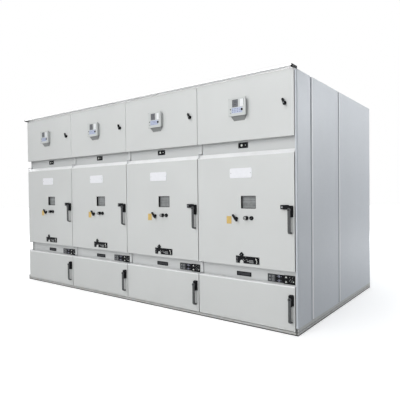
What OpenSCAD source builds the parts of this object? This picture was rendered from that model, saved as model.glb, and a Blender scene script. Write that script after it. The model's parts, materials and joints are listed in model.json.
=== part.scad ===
// Air-insulated medium-voltage switchgear: a row of four metal-clad panels. Each panel has a fixed
// low-voltage door on top, a breaker door with a sloping top edge, and a cable door at the floor.
// The origin is on the floor, in the middle of the row's box. The doors face -Y.

/* [Row] */
// Width of one panel
panel_w = 1000; // [800:1:1300]
// Depth of the housing, from the door faces to the rear edge of its sides
housing_d = 2137; // [1700:1:2700]
// Thickness of the covers that close each end of the row
end_cover_t = 22; // [18:1:40]
// How far the left end cover stands behind the door faces
left_setback = 65; // [55:1:120]
// Depth of the first side cover, which is also the depth of the low-voltage compartment
cover_1_d = 299; // [220:1:420]
// Depth of the second side cover, which ends level with the main barrier
cover_2_d = 706; // [500:1:900]
// Gap between two side covers
cover_gap = 14; // [6:1:20]
// Radius of the side covers' upright edges
cover_r = 15; // [6:1:17]
// How far the front edge of the first side cover keeps clear of the door beside it
cover_clear = 5; // [3:1:8]

/* [Front heights] */
// Height of the cable door's lower edge above the floor
cable_door_z = 33; // [30:1:60]
// Height of the cable door
cable_door_h = 373; // [300:1:520]
// Height of the strip above the cable door
lower_strip_h = 122; // [95:1:180]
// Height of the breaker door, with its sloping top edge
cb_door_h = 1020; // [800:1:1300]
// Height of the strip above the breaker door
upper_strip_h = 102; // [85:1:160]
// Height of the low-voltage door
lv_door_h = 550; // [420:1:700]
// How far the low-voltage door rises above the roof
lv_door_rise = 14; // [8:1:30]

/* [Doors] */
// Depth of a hinged leaf
leaf_d = 44; // [34:1:60]
// Gap between a closed leaf and the posts behind it
leaf_gap = 6; // [6:1:12]
// Gap between neighbouring hinged doors
door_gap = 8; // [8:1:16]
// Gap between neighbouring low-voltage doors
lv_gap = 4; // [3:1:12]
// Thickness of the folded sheet of a leaf
leaf_t = 2; // [1.5:0.1:3]
// Radius of a leaf's upright front edges
leaf_r = 4; // [2:0.5:8]
// Width of the lip folded in behind a leaf
lip_w = 15; // [10:1:30]
// Width left flat between the sloping top edge and the back of a breaker door
bevel_back = 4; // [3:1:10]
// Distance of the pivot axis from a leaf's left edge and from its face
pivot_in = 8; // [8:0.5:12]
// Radius of a pivot pin
pin_r = 5; // [3:0.5:5]
// Running clearance around pins and spindles
pin_fit = 0.05; // [0.03:0.01:0.1]
// How far a pivot pin enters its leaf
pin_in = 18; // [12:1:30]
// Thickness of a pivot arm
arm_t = 5; // [4:1:6]
// Width of the stiffening ribs inside a breaker door
rib_w = 40; // [25:1:60]
// Depth of the stiffening ribs, from the door's face
rib_d = 24; // [12:1:28]

/* [Frame] */
// Height of the base rails
rail_h = 60; // [50:1:100]
// Thickness of the base rails
rail_t = 5; // [4:1:8]
// Gap between the sill and the cable doors
sill_gap = 7; // [7:1:14]
// How far the sill stands behind the door faces
sill_inset = 3; // [2:1:10]
// Half width of the foot of an inner base rail
foot_w = 70; // [60:1:100]
// Distance of a floor bolt from its panel's side
bolt_x = 45; // [35:1:50]
// Distance of a floor bolt from the front face of the posts, and from the housing's rear edge
bolt_y = 100; // [60:1:200]
// Radius of a floor bolt hole
bolt_r = 7; // [5:0.5:9]
// Half width of a post
post_w = 15; // [14:1:25]
// Depth of a post
post_d = 40; // [30:1:60]
// Thickness of a post's folded sheet
post_t = 2; // [1.5:0.5:4]
// Thickness of the wall between two panels
wall_t = 4; // [3:0.5:8]
// Thickness of the shelves, barriers, roof and floor sheets
sheet_t = 3; // [2:0.5:5]
// How far the front strips stand behind the posts' faces
strip_inset = 18; // [10:1:24]
// Depth of a rear cover
rear_cover_d = 30; // [15:1:60]
// Distance from the roof down to the rear covers
rear_cover_drop = 100; // [60:1:200]
// Height of the rear covers' lower edge
rear_cover_z = 50; // [20:1:55]

/* [Handles] */
// Length of a lever handle below its pivot
lever_l = 199; // [150:1:250]
// Width of a lever handle
lever_w = 25; // [18:1:32]
// Thickness of a lever handle
lever_t = 12; // [11:1:16]
// How far a lever handle's face stands out from the door
lever_out = 46; // [44:1:60]
// Radius of the bend at a lever handle's lower end
lever_bend = 24; // [18:1:30]
// Radius of a lever handle's long edges
lever_r = 4; // [1:0.5:5]
// Radius of a lever handle's round head
lever_head = 15; // [14:0.5:18]
// Depth of the block that a lever handle turns on
block_d = 24; // [20:1:26]
// Distance from the panel's right side to a lever handle's pivot
lever_x = 35; // [33:1:60]
// Height of a cable door's pivot above the door's lower edge
cable_lever_z = 269; // [240:1:300]
// Height of a breaker door's lever pivot above the door's lower edge
cb_lever_z = 512; // [400:1:650]

/* [Relays and windows] */
// Width of a relay's front
relay_w = 178; // [170:1:220]
// Height of a relay's front
relay_h = 158; // [150:1:220]
// How far a relay stands out from its door
relay_out = 42; // [30:1:60]
// Width of a breaker door's window frame
window_w = 150; // [110:1:180]
// Height of a breaker door's window frame
window_h = 113; // [80:1:180]

/* [Cornice] */
// How far the cornice stands out in front of the doors
cornice_out = 40; // [10:1:60]
// Height of the cornice
cornice_h = 23; // [18:1:40]
// Height of the part of the cornice that stands out
visor_h = 13; // [10:1:16]
// Wall thickness of the cornice
cornice_t = 2; // [1.5:0.1:3]

/* [Hidden] */
$fn = 48;

// Length by which a cutter passes a face, so that it cuts clean through.
over = 1;

panel_n = 4;
last = panel_n - 1;
row_l = panel_n * panel_w;
row_end = row_l / 2;
post_y = leaf_d + leaf_gap;
wall_y0 = post_y + post_d;
wall_y1 = housing_d - post_d;
barrier_y = cover_1_d + cover_2_d;

sill_h = cable_door_z - sill_gap;
lower_strip_z = cable_door_z + cable_door_h;
cb_door_z = lower_strip_z + lower_strip_h;
upper_strip_z = cb_door_z + cb_door_h;
lv_door_z = upper_strip_z + upper_strip_h;
lv_top = lv_door_z + lv_door_h;
housing_h = lv_top - lv_door_rise;
roof_z = housing_h - sheet_t;

// The row's depth runs from the levers' faces to the rear covers.
mid_y = (housing_d + rear_cover_d - lever_out) / 2;

leaf_w = panel_w - door_gap;
bevel = leaf_d - bevel_back;
pivot_x = door_gap / 2 + pivot_in;
spindle_r = 6;

door_grey = [0.80, 0.80, 0.78];
frame_grey = [0.70, 0.71, 0.71];
zinc = [0.62, 0.64, 0.66];
glass_grey = [0.45, 0.48, 0.50];
black = [0.08, 0.08, 0.09];
dark_grey = [0.27, 0.28, 0.30];
pale = [0.93, 0.93, 0.94];

function panel_x(i) = i * panel_w - row_l / 2;

// Puts a piece, drawn with the door faces at y = 0, into the row's own frame.
module seat_row() translate([0, -mid_y, 0]) children();

// Draws its children once in each panel, with x = 0 at the panel's left side.
module each_panel() for (i = [0 : last]) translate([panel_x(i), 0, 0]) children();

// Mirrors what is drawn for the right end over to the left end, if side is -1.
module at_end(side) mirror([side < 0 ? 1 : 0, 0, 0]) children();

// Runs a profile drawn in (y, z) along X, from x0 to x1.
module run_x(x0, x1) translate([x0, 0, 0]) rotate([90, 0, 90]) linear_extrude(x1 - x0) children();

// Runs a front view drawn in (x, z) along Y, from y0 back to y1.
module run_y(y0, y1) translate([0, y1, 0]) rotate([90, 0, 0]) linear_extrude(y1 - y0) children();

// A cylinder along Y from y0 back to y1.
module rod_y(r, y0, y1) translate([0, y1, 0]) rotate([90, 0, 0]) cylinder(h = y1 - y0, r = r);

// A rectangle with four round corners, centred on the origin.
module round_rect(w, h, r) {
    square([w - 2 * r, h], center = true);
    square([w, h - 2 * r], center = true);
    for (x = [-1, 1], y = [-1, 1]) translate([x * (w / 2 - r), y * (h / 2 - r)]) circle(r);
}

// The same rectangle with its lower left corner on the origin.
module corner_rect(w, h, r) translate([w / 2, h / 2]) round_rect(w, h, r);

// An upright bar with round ends, from z0 to z1 on its centre line.
module round_bar(w, z0, z1) {
    translate([-w / 2, z0]) square([w, z1 - z0]);
    for (z = [z0, z1]) translate([0, z]) circle(w / 2);
}

// ---- housing ----

module front_rail_profile() {
    translate([sill_inset, 0]) square([post_y - sill_inset, rail_t]);
    translate([sill_inset, 0]) square([rail_t, sill_h]);
    difference() {
        translate([post_y, 0]) square([post_d, rail_h]);
        translate([post_y + rail_t, rail_t]) square([post_d, rail_h - 2 * rail_t]);
    }
}

module rear_rail_profile() difference() {
    translate([wall_y1, 0]) square([post_d, rail_h]);
    translate([wall_y1 - rail_t, rail_t]) square([post_d, rail_h - 2 * rail_t]);
}

// The end rails' faces stand just behind the end covers' faces.
web_inset = 2;
web_x = row_end + end_cover_t - web_inset;

// The rail under an end of the row: a channel with its web outside.
module end_rail() {
    foot_x = row_end - foot_w;
    top_x = row_end - 2 * wall_t;
    translate([foot_x, sill_inset, 0]) cube([web_x - foot_x, housing_d - sill_inset, rail_t]);
    translate([web_x - rail_t, sill_inset, 0]) cube([rail_t, housing_d - sill_inset, rail_h]);
    translate([top_x, post_y, rail_h - rail_t]) cube([web_x - top_x, housing_d - post_y, rail_t]);
}

// The rail under the wall between two panels, a wide foot with an upright web.
module inner_rail() translate([0, post_y + rail_t, 0]) {
    rail_l = housing_d - post_y - 2 * rail_t;
    translate([-foot_w, 0, 0]) cube([2 * foot_w, rail_l, rail_t]);
    translate([-rail_t, 0, 0]) cube([2 * rail_t, rail_l, rail_h]);
}

// A rebate along the foot of the sill and the end rails, and a groove along each end rail.
module base_joints() {
    joint_d = 3;
    rebate_h = 6;
    groove_z = 26;
    groove_h = 5;
    run_x(-web_x - over, web_x + over)
        translate([sill_inset - over, -over]) square([joint_d + over, rebate_h + over]);
    for (side = [-1, 1], z = [[-over, rebate_h], [groove_z, groove_z + groove_h]]) at_end(side)
        translate([web_x - joint_d, 0, z[0]]) cube([joint_d + over, housing_d + over, z[1] - z[0]]);
}

module base_frame() color(frame_grey) seat_row() difference() {
    union() {
        run_x(-row_end, row_end) front_rail_profile();
        run_x(-row_end, row_end) rear_rail_profile();
        for (side = [-1, 1]) at_end(side) end_rail();
        for (i = [1 : last]) translate([panel_x(i), 0, 0]) inner_rail();
    }
    each_panel() for (x = [bolt_x, panel_w - bolt_x], y = [post_y + bolt_y, housing_d - bolt_y])
        translate([x, y, -over]) cylinder(h = rail_t + 2 * over, r = bolt_r);
    base_joints();
}

// Thickness of the wall on a panel's left and right side. Neighbours share an inner wall.
function wall_left(i) = i == 0 ? wall_t : wall_t / 2;
function wall_right(i) = i == last ? wall_t : wall_t / 2;

module side_walls() color(zinc) seat_row() for (i = [0 : panel_n]) {
    x0 = i == 0 ? 0 : -wall_right(i - 1);
    x1 = i == panel_n ? 0 : wall_left(i);
    translate([panel_x(i) + x0, post_y + post_t, rail_h])
        cube([x1 - x0, housing_d - post_y - 2 * post_t, roof_z - rail_h]);
}

// Folded posts on the panels' boundaries, each a channel that is open inwards. The walls stand in
// them. The two outer posts stay inside the row's length and have a flange on one side only.
module posts(y0, hollow_y0, hollow_y1) for (i = [0 : panel_n]) {
    x0 = i == 0 ? 0 : -post_w;
    x1 = i == panel_n ? 0 : post_w;
    hollow_x0 = i == 0 ? -over : x0 + post_t;
    hollow_x1 = i == panel_n ? over : x1 - post_t;
    translate([panel_x(i), 0, rail_h]) linear_extrude(roof_z - rail_h) difference() {
        translate([x0, y0]) square([x1 - x0, post_d]);
        translate([hollow_x0, hollow_y0])
            square([hollow_x1 - hollow_x0, hollow_y1 - hollow_y0]);
    }
}

module front_posts() color(frame_grey) seat_row() posts(post_y, post_y + post_t, wall_y0 + over);

module rear_posts() color(zinc) seat_row() posts(wall_y1, wall_y1 - over, housing_d - post_t);

// A block in each panel, from one side wall to the other.
module between_walls(y0, y1, z0, z1) for (i = [0 : last])
    translate([panel_x(i) + wall_left(i), y0, z0])
        cube([panel_w - wall_left(i) - wall_right(i), y1 - y0, z1 - z0]);

cb_floor_drop = 58;
lv_floor_drop = 50;
cb_floor_z = cb_door_z - cb_floor_drop;
lv_floor_z = lv_door_z - lv_floor_drop;

module floor_plates() color(zinc) seat_row()
    between_walls(wall_y0, wall_y1, rail_h, rail_h + sheet_t);

module shelves() color(zinc) seat_row() for (z = [cb_floor_z, lv_floor_z])
    between_walls(wall_y0, barrier_y, z, z + sheet_t);

module barriers() color(zinc) seat_row() {
    between_walls(barrier_y, barrier_y + sheet_t, rail_h + sheet_t, roof_z);
    between_walls(cover_1_d, cover_1_d + sheet_t, lv_floor_z + sheet_t, roof_z);
}

strip_y = post_y + strip_inset;

// A folded strip between two posts, open behind. It reaches a little behind the doors' edges.
module front_strip(z0, z1) run_x(post_w, panel_w - post_w) difference() {
    edge = 15;
    strip_z0 = z0 - edge;
    strip_z1 = z1 + edge;
    translate([strip_y, strip_z0]) square([wall_y0 - strip_y, strip_z1 - strip_z0]);
    translate([strip_y + leaf_t, strip_z0 + leaf_t])
        square([post_d, strip_z1 - strip_z0 - 2 * leaf_t]);
}

module front_strips() color(frame_grey) seat_row() each_panel() {
    front_strip(lower_strip_z, cb_door_z);
    front_strip(upper_strip_z, lv_door_z);
}

plate_t = 3;
plate_r = 3;
field_r = 2;

// Seats a front view, drawn in (x, z) from the panel's middle, on the face of a front strip.
module on_strip(z, out) translate([panel_w / 2, 0, z]) run_y(strip_y - out, strip_y) children();

// The test socket plate under the low-voltage door, with a ring around the socket.
module socket_plate() {
    w = 102;
    h = 51;
    left = -79;
    drop = 62;
    socket_r = 12;
    ring_w = 4;
    ring_out = 8;
    indicator = 15;
    indicator_rise = 2;
    socket_x = left + 38;
    indicator_x = left + 77;
    on_strip(lv_door_z - drop, plate_t) translate([left, 0]) corner_rect(w, h, plate_r);
    on_strip(lv_door_z - drop + h / 2, ring_out) translate([socket_x, 0]) difference() {
        circle(socket_r + ring_w);
        circle(socket_r);
    }
    on_strip(lv_door_z - drop + h / 2, plate_t + indicator_rise) translate([indicator_x, 0])
        round_rect(indicator, indicator, field_r);
}

// A long plate with a shallow field for its lettering.
module rating_plate() {
    w = 152;
    h = 39;
    left = -106;
    rise = 20;
    rim = 6;
    sunk = 1;
    on_strip(lower_strip_z + rise, plate_t) translate([left, 0]) difference() {
        corner_rect(w, h, plate_r);
        translate([rim, rim]) corner_rect(w - 2 * rim, h - 2 * rim, field_r);
    }
    on_strip(lower_strip_z + rise, plate_t - sunk) translate([left, 0]) corner_rect(w, h, plate_r);
}

// A plate with raised fields between the places in field_x, with its lower left corner at (x, z).
module field_plate(x, z, h, field_x) {
    groove = 2;
    w = field_x[len(field_x) - 1];
    on_strip(z, plate_t) translate([x, 0]) corner_rect(w, h, plate_r);
    for (i = [0 : len(field_x) - 2]) on_strip(z, 2 * plate_t)
        translate([x + field_x[i] + groove / 2, groove / 2])
            corner_rect(field_x[i + 1] - field_x[i] - groove, h - groove, field_r);
}

// The two indicator plates beside the cable door's handle.
module indicator_plates() {
    left = 212;
    split = left + 152;
    field_plate(left, lower_strip_z + 4, 67, [0, 77, 151]);
    field_plate(split, lower_strip_z - 1, 75, [0, 46, 104]);
}

module strip_plates() color(black) seat_row() each_panel() {
    socket_plate();
    rating_plate();
    indicator_plates();
}

module roof_plates() color(zinc) seat_row() each_panel() {
    joint = 1;
    translate([joint, post_y, roof_z]) cube([panel_w - 2 * joint, housing_d - post_y, sheet_t]);
}

// Three pressure-relief flaps on each roof, over the breaker, busbar and cable compartments.
module roof_flaps() color(frame_grey) seat_row() each_panel() {
    side = 60;
    corner_r = 20;
    bay = (wall_y1 - barrier_y) / 2;
    for (y = [[cover_1_d, barrier_y], [barrier_y, barrier_y + bay], [barrier_y + bay, wall_y1]])
        translate([side, y[0] + side / 2, housing_h]) linear_extrude(sheet_t)
            corner_rect(panel_w - 2 * side, y[1] - y[0] - side, corner_r);
}

// Outline of a folded pan seen from above. Its face lies at y = 0, with round edges beside it.
module pan_plan(w, d, r) intersection() {
    square([w, d]);
    union() {
        translate([r, 0]) square([w - 2 * r, d]);
        translate([0, r]) square([w, d]);
        for (x = [r, w - r]) translate([x, r]) circle(r);
    }
}

// Radius inside a folded edge whose radius outside is r.
function inner_r(r) = max(r - leaf_t, 0.5);

// Inside of such a pan, up to the depth d behind its face.
module pan_hollow(w, d, h, r) translate([leaf_t, leaf_t, leaf_t])
    linear_extrude(h - 2 * leaf_t) pan_plan(w - 2 * leaf_t, d, inner_r(r));

// A shallow folded cover bolted on the back of the posts.
module rear_cover(z0, z1) {
    edge = 4;
    fold_r = 6;
    w = panel_w - 2 * edge;
    translate([edge, housing_d + rear_cover_d, z0]) mirror([0, 1, 0]) difference() {
        linear_extrude(z1 - z0) pan_plan(w, rear_cover_d, fold_r);
        pan_hollow(w, rear_cover_d, z1 - z0, fold_r);
    }
}

module rear_covers() color(frame_grey) seat_row() each_panel() {
    top = housing_h - rear_cover_drop;
    split = (rear_cover_z + top) / 2;
    half_gap = 2;
    header_z = top + half_gap;
    rear_cover(rear_cover_z, split - half_gap);
    rear_cover(split + half_gap, top);
    translate([post_w, housing_d - sheet_t, header_z])
        cube([panel_w - 2 * post_w, sheet_t, roof_z - header_z]);
}

// One folded side cover on the row's right end, from y0 to y1.
module side_cover(y0, y1) {
    lift = rail_h + 2;
    h = housing_h - lift;
    translate([end_cover_t, y0, lift]) rotate([0, 0, 90]) difference() {
        linear_extrude(h) pan_plan(y1 - y0, end_cover_t, cover_r);
        pan_hollow(y1 - y0, end_cover_t, h, cover_r);
    }
}

// The covers of one end. The first one starts at y = front, and its inner edge keeps clear of a door.
module side_cover_set(front) difference() {
    union() {
        side_cover(front, cover_1_d - cover_gap / 2);
        side_cover(cover_1_d + cover_gap / 2, barrier_y - cover_gap / 2);
        side_cover(barrier_y + cover_gap / 2, housing_d);
    }
    translate([-over, -over, 0]) cube([over + cover_clear, over + post_y, housing_h + over]);
}

module end_cover_right() color(frame_grey) seat_row()
    translate([row_end, 0, 0]) side_cover_set(0);

module end_cover_left() color(frame_grey) seat_row()
    at_end(-1) translate([row_end, 0, 0]) side_cover_set(left_setback);

// ---- cornice ----

cornice_z = lv_top + 1;
cornice_top = cornice_z + cornice_h;
cornice_leg_y = 20;
cornice_back = post_y + 10;
cap_t = 8;

// Outline of the cornice in (y, z), drawn in by the distance t: a visor in front of a deeper leg.
module cornice_outline(t) {
    visor_d = cornice_out + cornice_back;
    visor_r = 4;
    leg_d = cornice_back - cornice_leg_y;
    translate([t - cornice_out, cornice_top - visor_h + t])
        corner_rect(visor_d - 2 * t, visor_h - 2 * t, visor_r - t);
    translate([cornice_leg_y + t, cornice_z + t]) square([leg_d - 2 * t, cornice_h - 2 * t]);
}

module cornice() color(pale) seat_row() run_x(cap_t - row_end, row_end - cap_t) {
    difference() {
        cornice_outline(0);
        cornice_outline(cornice_t);
    }
    translate([cornice_back - cornice_t, housing_h]) square([cornice_t, cornice_z - housing_h]);
}

module cornice_caps() color(black) seat_row() for (side = [-1, 1])
    at_end(side) run_x(row_end - cap_t, row_end) cornice_outline(0);

// ---- doors ----

// A folded pan with a lip folded in behind its four returns, seen as a closed door.
module leaf(w, h, d) difference() {
    linear_extrude(h) pan_plan(w, d, leaf_r);
    pan_hollow(w, d - 2 * leaf_t, h, leaf_r);
    lip_opening(w, h, d);
}

// The opening that the lips leave at the back of a leaf.
module lip_opening(w, h, d) translate([lip_w, d - 2 * leaf_t, lip_w])
    cube([w - 2 * lip_w, 2 * leaf_t + over, h - 2 * lip_w]);

module lv_doors() color(door_grey) seat_row() each_panel()
    translate([lv_gap / 2, 0, lv_door_z]) leaf(panel_w - lv_gap, lv_door_h, post_y);

arm_gap = 6;
arm_r = 7;

// Bearing of one pivot pin inside a leaf, from z0 to z1.
module bearing(z0, z1) translate([pivot_in, pivot_in, z0]) cylinder(h = z1 - z0, r = arm_r);

module pin_bore(z0, z1) translate([pivot_in, pivot_in, z0])
    cylinder(h = z1 - z0, r = pin_r + pin_fit);

module cable_door(i) color(door_grey) seat_row()
    translate([panel_x(i) + door_gap / 2, 0, cable_door_z]) difference() {
        union() {
            leaf(leaf_w, cable_door_h, leaf_d);
            bearing(leaf_t / 2, pin_in);
            bearing(cable_door_h - pin_in, cable_door_h - leaf_t / 2);
        }
        pin_bore(-over, pin_in + over);
        pin_bore(cable_door_h - pin_in - over, cable_door_h + over);
    }

// Side view of a breaker door, drawn in by the distance t from its outline.
module cb_side(t) {
    slope = t * (sqrt(2) - 1);
    polygon([[t, t], [leaf_d - t, t], [leaf_d - t, cb_door_h - t],
        [bevel + slope, cb_door_h - t], [t, cb_door_h - bevel - slope]]);
}

// Places of the ribs, as parts of the door's width.
rib_places = [0.25, 0.75];

// A stiffening rib inside a breaker door: a hat section welded to the back of the door's face.
module rib(x) translate([x, 0, lip_w]) difference() {
    h = cb_door_h - bevel - 2 * lip_w;
    translate([0, leaf_t / 2, 0]) cube([rib_w, rib_d - leaf_t / 2, h]);
    translate([leaf_t, leaf_t, -over]) cube([rib_w - 2 * leaf_t, rib_d - 2 * leaf_t, h + 2 * over]);
}

// Places of the fittings on a breaker door, from the panel's middle and the door's lower edge.
window_x = 60;
window_z = 572;
window_rim = 3;
window_r = 5;
window_depth = leaf_d - 14;
rotary_x = -62;
rotary_z = 425;
knob_z = 432;
plain_knob_x = 93;
key_switch_x = 42;

// Inside of a breaker door's window frame, seen from the front.
module window_opening()
    round_rect(window_w - 2 * window_rim, window_h - 2 * window_rim, window_r - window_rim);

cb_top_bore = cb_door_h - bevel + pivot_in - pin_in;

module cb_door(i) color(door_grey) seat_row()
    translate([panel_x(i) + door_gap / 2, 0, cb_door_z]) difference() {
        union() {
            difference() {
                intersection() {
                    linear_extrude(cb_door_h) pan_plan(leaf_w, leaf_d, leaf_r);
                    run_x(0, leaf_w) cb_side(0);
                }
                intersection() {
                    pan_hollow(leaf_w, leaf_d, cb_door_h, leaf_r);
                    run_x(0, leaf_w) cb_side(leaf_t);
                }
                lip_opening(leaf_w, cb_door_h, leaf_d);
            }
            for (x = rib_places) rib(x * leaf_w - rib_w / 2);
            bearing(leaf_t / 2, pin_in);
            intersection() {
                bearing(cb_top_bore, cb_door_h);
                run_x(0, leaf_w) cb_side(leaf_t / 2);
            }
        }
        pin_bore(-over, pin_in + over);
        pin_bore(cb_top_bore - over, cb_door_h + over);
        translate([leaf_w / 2 + window_x, 0, window_z]) run_y(-over, leaf_t + over)
            round_rect(window_w, window_h, window_r);
    }

// An arm that stands forward from a post, with a round end on the pivot axis.
module arm(z) translate([pivot_x, 0, z]) linear_extrude(arm_t) {
    translate([0, pivot_in]) circle(arm_r);
    translate([-arm_r, pivot_in]) square([2 * arm_r, post_y - pivot_in]);
}

module pin(z0, z1) translate([pivot_x, pivot_in, z0]) cylinder(h = z1 - z0, r = pin_r);

module door_pivots() color(zinc) seat_row() each_panel() {
    arm(sill_h);
    pin(sill_h, cable_door_z + pin_in);
    arm(lower_strip_z + arm_gap);
    pin(lower_strip_z - pin_in, lower_strip_z + arm_gap + arm_t);
    arm(cb_door_z - arm_gap - arm_t);
    pin(cb_door_z - arm_gap - arm_t, cb_door_z + pin_in);
    arm(upper_strip_z + arm_gap);
    pin(cb_door_z + cb_top_bore, upper_strip_z + arm_gap + arm_t);
}

// ---- fittings on the low-voltage doors ----

relay_x = -24;
relay_z = 215;

// The screen and the key field, sunk into the relay's front.
module relay_fields() {
    screen_x = 39;
    screen_w = 62;
    screen_h = 67;
    screen_top = 13;
    screen_sunk = 2;
    keys_x = 33;
    keys_h = 50;
    keys_z = 24;
    keys_sunk = 1;
    corner_r = 2;
    run_y(-over, screen_sunk) translate([screen_x, relay_h - screen_top - screen_h])
        corner_rect(screen_w, screen_h, corner_r);
    run_y(-over, keys_sunk) translate([keys_x, keys_z])
        corner_rect(relay_w - 2 * keys_x, keys_h, corner_r);
}

// A relay on its raising frame, with its face at y = 0. The frame runs out below to the door.
module relay() difference() {
    bezel_t = 12;
    bezel_r = 4;
    inset = 12;
    drop = 38;
    taper = 22;
    x0 = inset;
    x1 = relay_w - inset;
    top = relay_h - inset;
    union() {
        run_y(0, bezel_t) corner_rect(relay_w, relay_h, bezel_r);
        intersection() {
            run_x(x0, x1) polygon([[bezel_t / 2, inset], [bezel_t, inset], [relay_out, -drop],
                [relay_out, top], [bezel_t / 2, top]]);
            run_y(0, relay_out) polygon([[x0, top], [x0, inset], [x0 + taper, -drop],
                [x1 - taper, -drop], [x1, inset], [x1, top]]);
        }
    }
    relay_fields();
}

module relays() color(pale) seat_row() each_panel()
    translate([panel_w / 2 + relay_x - relay_w / 2, -relay_out, lv_door_z + relay_z]) relay();

lock_x = 417;
lock_z = 273;

// A quarter-turn lock: a round escutcheon, a barrel and a tilted wing.
module lv_locks() color(black) seat_row() each_panel()
    translate([panel_w / 2 + lock_x, 0, lv_door_z + lock_z]) {
        rose_r = 15;
        rose_t = 3;
        barrel_r = 11;
        wing_out = 29;
        wing_t = 12;
        wing_w = 19;
        tilt = 18;
        rod_y(rose_r, -rose_t, 0);
        rod_y(barrel_r, wing_t / 2 - wing_out, 0);
        run_y(-wing_out, wing_t - wing_out) rotate(tilt) round_bar(wing_w, -13, 30);
    }

// ---- handles ----

spindle_in = 14;
boss_gap = 2;

// The block that a lever handle turns on, on its flange, with its pivot at the origin.
module handle_block() difference() {
    w = 37;
    h = 92;
    edge_r = 6;
    rim = 2;
    flange_t = 4;
    middle_z = -14;
    union() {
        run_y(-flange_t, 0) translate([0, middle_z])
            round_rect(w + 2 * rim, h + 2 * rim, edge_r + rim);
        run_y(-block_d, 0) translate([0, middle_z]) round_rect(w, h, edge_r);
    }
    rod_y(spindle_r + pin_fit, -block_d - over, spindle_in - block_d);
}

// A lever handle, hanging down from its pivot at the origin, with its end bent back to the door.
module lever() {
    tip = 6;
    boss_r = 11;
    back_y = lever_t - lever_out;
    bend_y = lever_bend - lever_out;
    bend_z = lever_bend - lever_l;
    translate([0, back_y - lever_t / 2, bend_z]) linear_extrude(-bend_z)
        round_rect(lever_w, lever_t, lever_r);
    translate([0, bend_y, bend_z]) rotate([0, 90, 0]) rotate([0, 0, -90])
        rotate_extrude(angle = 90) translate([lever_bend - lever_t / 2, 0])
            round_rect(lever_t, lever_w, lever_r);
    run_y(bend_y, -tip) translate([0, lever_t / 2 - lever_l]) round_rect(lever_w, lever_t, lever_r);
    rod_y(lever_head, -lever_out, back_y);
    rod_y(boss_r, back_y - over, -block_d - boss_gap);
    rod_y(spindle_r, back_y - over, spindle_in - block_d - 1);
}

// ---- fittings on the breaker doors ----

// A deep frame that passes through the door's face. The pane sits near its back end.
module window_frame() translate([window_x, 0, window_z]) run_y(-1, window_depth) difference() {
    round_rect(window_w, window_h, window_r);
    window_opening();
}

rotary_r = 5;
rotary_base_d = 12;
rotary_hub_r = 11;

// The stepped base that the small turning lever sits on.
module rotary_base() translate([rotary_x, 0, rotary_z]) difference() {
    flange_r = 15;
    flange_t = 4;
    union() {
        rod_y(flange_r, -flange_t, 0);
        rod_y(rotary_hub_r, -rotary_base_d, 0);
    }
    rod_y(rotary_r + pin_fit, -rotary_base_d - over, over);
}

// A round body on a collar, with a recess of the radius r and the depth sunk in its face.
module knob(x, out, r, sunk) translate([x, 0, knob_z]) difference() {
    collar_r = 19;
    collar_t = 5;
    body_r = 17;
    union() {
        rod_y(collar_r, -collar_t, 0);
        rod_y(body_r, -out, 0);
    }
    rod_y(r, -out - over, sunk - out);
}

// A key switch with a long barrel and a wide shallow field in its face.
module key_switch() knob(key_switch_x, out = 34, r = 13, sunk = 1);

// A low knob with a dimple in its face.
module plain_knob() knob(plain_knob_x, out = 14, r = 5, sunk = 2);

// The plate over the truck's racking spindle, with an arch cut out of it and a turned square above.
module racking_plate() {
    w = 239;
    h = 64;
    left = -72;
    z = 27;
    spindle_x = -12;
    arch_r = 19;
    arch_z = 10;
    square_z = 76;
    square_w = 36;
    square_r = 5;
    boss_r = 8;
    translate([0, 0, z]) {
        run_y(-plate_t, 0) difference() {
            translate([left, 0]) corner_rect(w, h, plate_r);
            translate([spindle_x, arch_z]) circle(arch_r);
            translate([spindle_x - arch_r, -over]) square([2 * arch_r, arch_z + over]);
        }
        run_y(-2 * plate_t, 0) translate([spindle_x, square_z]) rotate(45)
            round_rect(square_w, square_w, square_r);
        translate([spindle_x, 0, square_z]) rod_y(boss_r, -3 * plate_t, 0);
    }
}

// The bar beside a breaker door's lever, with its lock barrel. The pivot is at the origin.
module lock_bar() difference() {
    bar_x = -86;
    bar_l = 70;
    bar_h = 36;
    bar_r = 5;
    middle_z = 21;
    barrel_x = -69;
    barrel_r = 10;
    barrel_out = block_d + 2;
    slot_w = 3;
    slot_d = 4;
    union() {
        run_y(2 - block_d, 0) translate([bar_x, middle_z - bar_h / 2])
            corner_rect(bar_l, bar_h, bar_r);
        translate([barrel_x, 0, middle_z]) rod_y(barrel_r, -barrel_out, 0);
    }
    translate([barrel_x, 1 - barrel_out, middle_z]) cube([slot_w, slot_d, barrel_r], center = true);
}

module cb_fittings(i) color(black) seat_row()
    translate([panel_x(i) + panel_w / 2, 0, cb_door_z]) {
        window_frame();
        rotary_base();
        key_switch();
        plain_knob();
        racking_plate();
        translate([panel_w / 2 - lever_x, 0, cb_lever_z]) {
            handle_block();
            lock_bar();
        }
    }

module cb_window(i) color(glass_grey) seat_row()
    translate([panel_x(i) + panel_w / 2 + window_x, 0, cb_door_z + window_z])
        run_y(window_depth - 8, window_depth - 4) window_opening();

module cb_handle(i) color(dark_grey) seat_row()
    translate([panel_x(i) + panel_w - lever_x, 0, cb_door_z + cb_lever_z]) lever();

// The small turning lever: a hub on its spindle and a bar with round ends.
module cb_rotary(i) color(black) seat_row()
    translate([panel_x(i) + panel_w / 2 + rotary_x, 0, cb_door_z + rotary_z]) {
        out = 32;
        bar_w = 18;
        bar_t = 12;
        tilt = 38;
        play = 1;
        rod_y(rotary_r, -rotary_base_d - 2 * play, -play);
        rod_y(rotary_hub_r, -out, -rotary_base_d - play);
        run_y(-out, bar_t - out) rotate(tilt) round_bar(bar_w, -22, 38);
    }

module cable_catch(i) color(black) seat_row()
    translate([panel_x(i) + panel_w - lever_x, 0, cable_door_z + cable_lever_z]) handle_block();

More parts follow.
